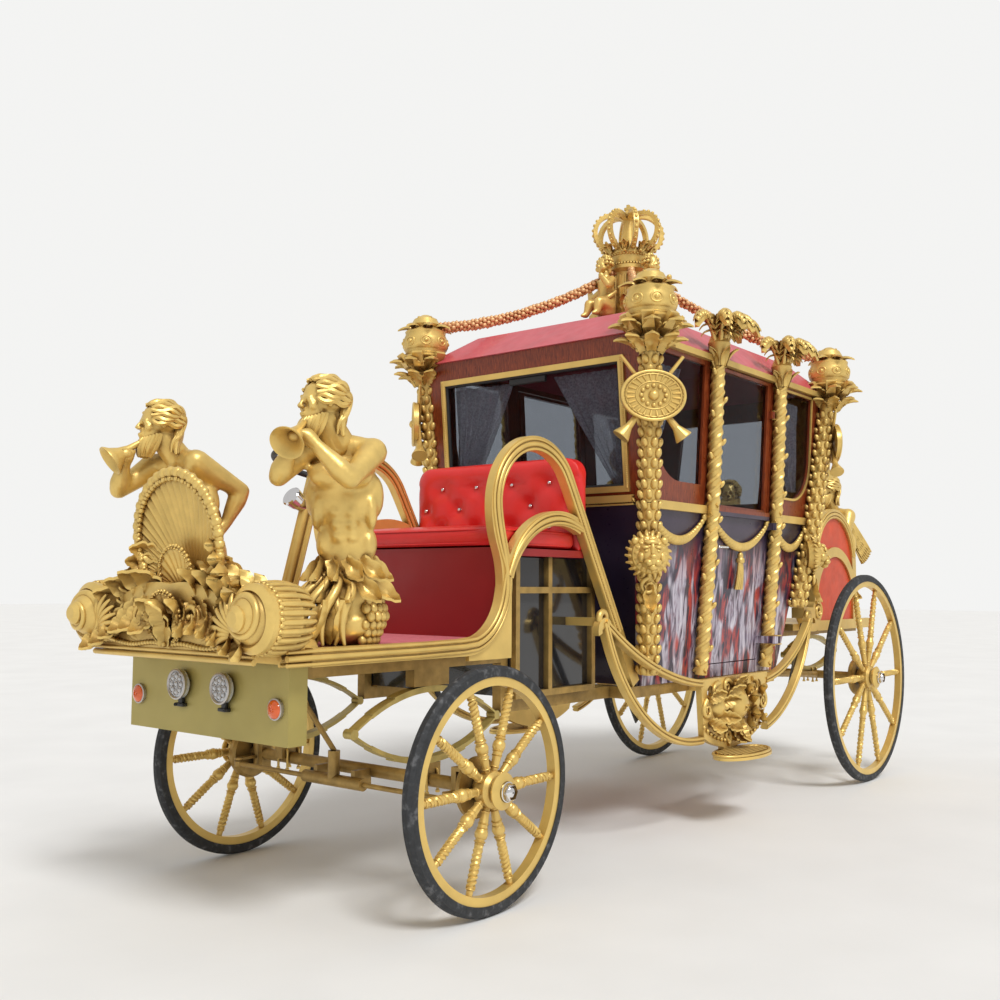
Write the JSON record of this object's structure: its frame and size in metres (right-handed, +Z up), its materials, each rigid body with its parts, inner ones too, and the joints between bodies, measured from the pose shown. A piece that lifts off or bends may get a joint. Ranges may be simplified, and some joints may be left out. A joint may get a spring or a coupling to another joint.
{
  "type": "ornate self-driven royal carriage",
  "caption": "Gilded closed carriage on wooden-spoked wheels with a driver's bench, glazed cab, side doors and carved figures, driven and steered by itself.",
  "frame": {"origin": "centre of the whole length and width, on the ground", "axes": "+X forward, +Y to the left, +Z up"},
  "size_m": [6.092, 1.962, 3.775],
  "materials": {
    "tyre": "matt",
    "gilt_wood": "satin gold paint over wood",
    "gilt_carving": "satin gold paint over cast resin",
    "chassis_paint": "satin gold-brown paint",
    "spring_steel": "satin gold paint",
    "box_paint": "satin olive gold",
    "lamp_lens": "clear with a grey rim",
    "amber_lens": "gloss",
    "deck_trim": "brushed",
    "carpet": "short pile",
    "seat_panel": "quilted",
    "red_vinyl": "smooth",
    "black_panel": "gloss",
    "cab_paint": "gloss, painted panels",
    "mahogany": "varnished",
    "glass": "tinted",
    "roof_skin": "satin",
    "step_plate": "chequered",
    "interior_cloth": "plush",
    "orange_panel": "satin",
    "bright_metal": "polished",
    "black_metal": "satin",
    "black_plastic": "moulded"
  },
  "bodies": {
    "carriage": {"front_axle": "chassis_paint", "steering_rack": "chassis_paint", "rear_axle": "chassis_paint", "front_springs": "spring_steel", "rear_springs": "spring_steel", "chassis_frame": "spring_steel", "front_box": "box_paint", "headlamps": "lamp_lens", "indicator_lamps": "amber_lens", "deck": "deck_trim", "rear_deck": "deck_trim", "deck_carpet": "carpet", "driver_seat_panel": "seat_panel", "driver_seat_cushion": "red_vinyl", "driver_seat_back": "red_vinyl", "armrest_loops": "gilt_wood", "battery_cabinet": "black_panel", "cabinet_frame": "gilt_wood", "cab_floor": "mahogany", "cab_sides": "cab_paint", "cab_front_wall": "cab_paint", "cab_rear_wall": "cab_paint", "side_glass": "glass", "end_glass": "glass", "cab_roof": "roof_skin", "cab_mouldings": "gilt_carving", "palm_pillars": "gilt_carving", "door_hinges": "spring_steel", "sling_arms": "gilt_wood", "steps": "step_plate", "passenger_seats": "interior_cloth", "prow_scrolls": "gilt_carving", "prow_shell": "gilt_carving", "triton_figures": "gilt_carving", "steering_column": "black_metal", "gauge_pod": "black_plastic", "rear_loops": "gilt_wood", "rear_panels": "orange_panel", "rear_figures": "gilt_carving", "crown": "gilt_carving", "roof_figures": "gilt_carving", "garlands": "gilt_carving"},
    "wheel_front_left": {"tyre_front_left": "tyre", "wheel_front_left": "gilt_wood"},
    "wheel_front_right": {"tyre_front_right": "tyre", "wheel_front_right": "gilt_wood"},
    "wheel_rear_left": {"tyre_rear_left": "tyre", "wheel_rear_left": "gilt_wood"},
    "wheel_rear_right": {"tyre_rear_right": "tyre", "wheel_rear_right": "gilt_wood"},
    "knuckle_left": {"knuckle_left": "chassis_paint"},
    "door_left": {"door_left": "cab_paint", "door_glass_left": "glass", "door_handle_left": "bright_metal"},
    "knuckle_right": {"knuckle_right": "chassis_paint"},
    "door_right": {"door_right": "cab_paint", "door_glass_right": "glass", "door_handle_right": "bright_metal"},
    "tie_rod": {"tie_rod": "chassis_paint"},
    "steering_wheel": {"steering_wheel": "black_plastic"}
  },
  "joints": [
    {"name": "steer_left", "type": "hinge", "parent": "carriage", "child": "knuckle_left", "pos_m": [1.946, 0.674, 0.5], "axis": [0, 0, 1], "range_deg": [-25, 25]},
    {"name": "steer_right", "type": "hinge", "parent": "carriage", "child": "knuckle_right", "pos_m": [1.946, -0.674, 0.5], "axis": [0, 0, 1], "range_deg": [-25, 25]},
    {"name": "tie_rod_slide", "type": "slide", "parent": "carriage", "child": "tie_rod", "axis": [0, 1, 0], "range_m": [-0.0524, 0.0524]},
    {"name": "steering_wheel_turn", "type": "hinge", "parent": "carriage", "child": "steering_wheel", "pos_m": [2.20092, 0, 1.85393], "axis": [-0.2694, 0, 0.963], "range_deg": [-250, 250]},
    {"name": "roll_front_left", "type": "hinge", "parent": "knuckle_left", "child": "wheel_front_left", "pos_m": [1.946, 0.802, 0.5], "axis": [0, 1, 0], "continuous": true},
    {"name": "roll_front_right", "type": "hinge", "parent": "knuckle_right", "child": "wheel_front_right", "pos_m": [1.946, -0.802, 0.5], "axis": [0, 1, 0], "continuous": true},
    {"name": "roll_rear_left", "type": "hinge", "parent": "carriage", "child": "wheel_rear_left", "pos_m": [-2.096, 0.859, 0.707], "axis": [0, 1, 0], "continuous": true},
    {"name": "roll_rear_right", "type": "hinge", "parent": "carriage", "child": "wheel_rear_right", "pos_m": [-2.096, -0.859, 0.707], "axis": [0, 1, 0], "continuous": true},
    {"name": "door_left_swing", "type": "hinge", "parent": "carriage", "child": "door_left", "pos_m": [-0.899, 0.747, 1.74], "axis": [0, 0, 1], "range_deg": [0, 80]},
    {"name": "door_right_swing", "type": "hinge", "parent": "carriage", "child": "door_right", "pos_m": [-0.899, -0.747, 1.74], "axis": [0, 0, -1], "range_deg": [0, 80]}
  ],
  "couplings": [
    {"joint": "steer_right", "follows": "steer_left", "ratio": 1},
    {"joint": "tie_rod_slide", "follows": "steer_left", "m_per_rad": 0.12},
    {"joint": "steering_wheel_turn", "follows": "steer_left", "ratio": 10}
  ]
}
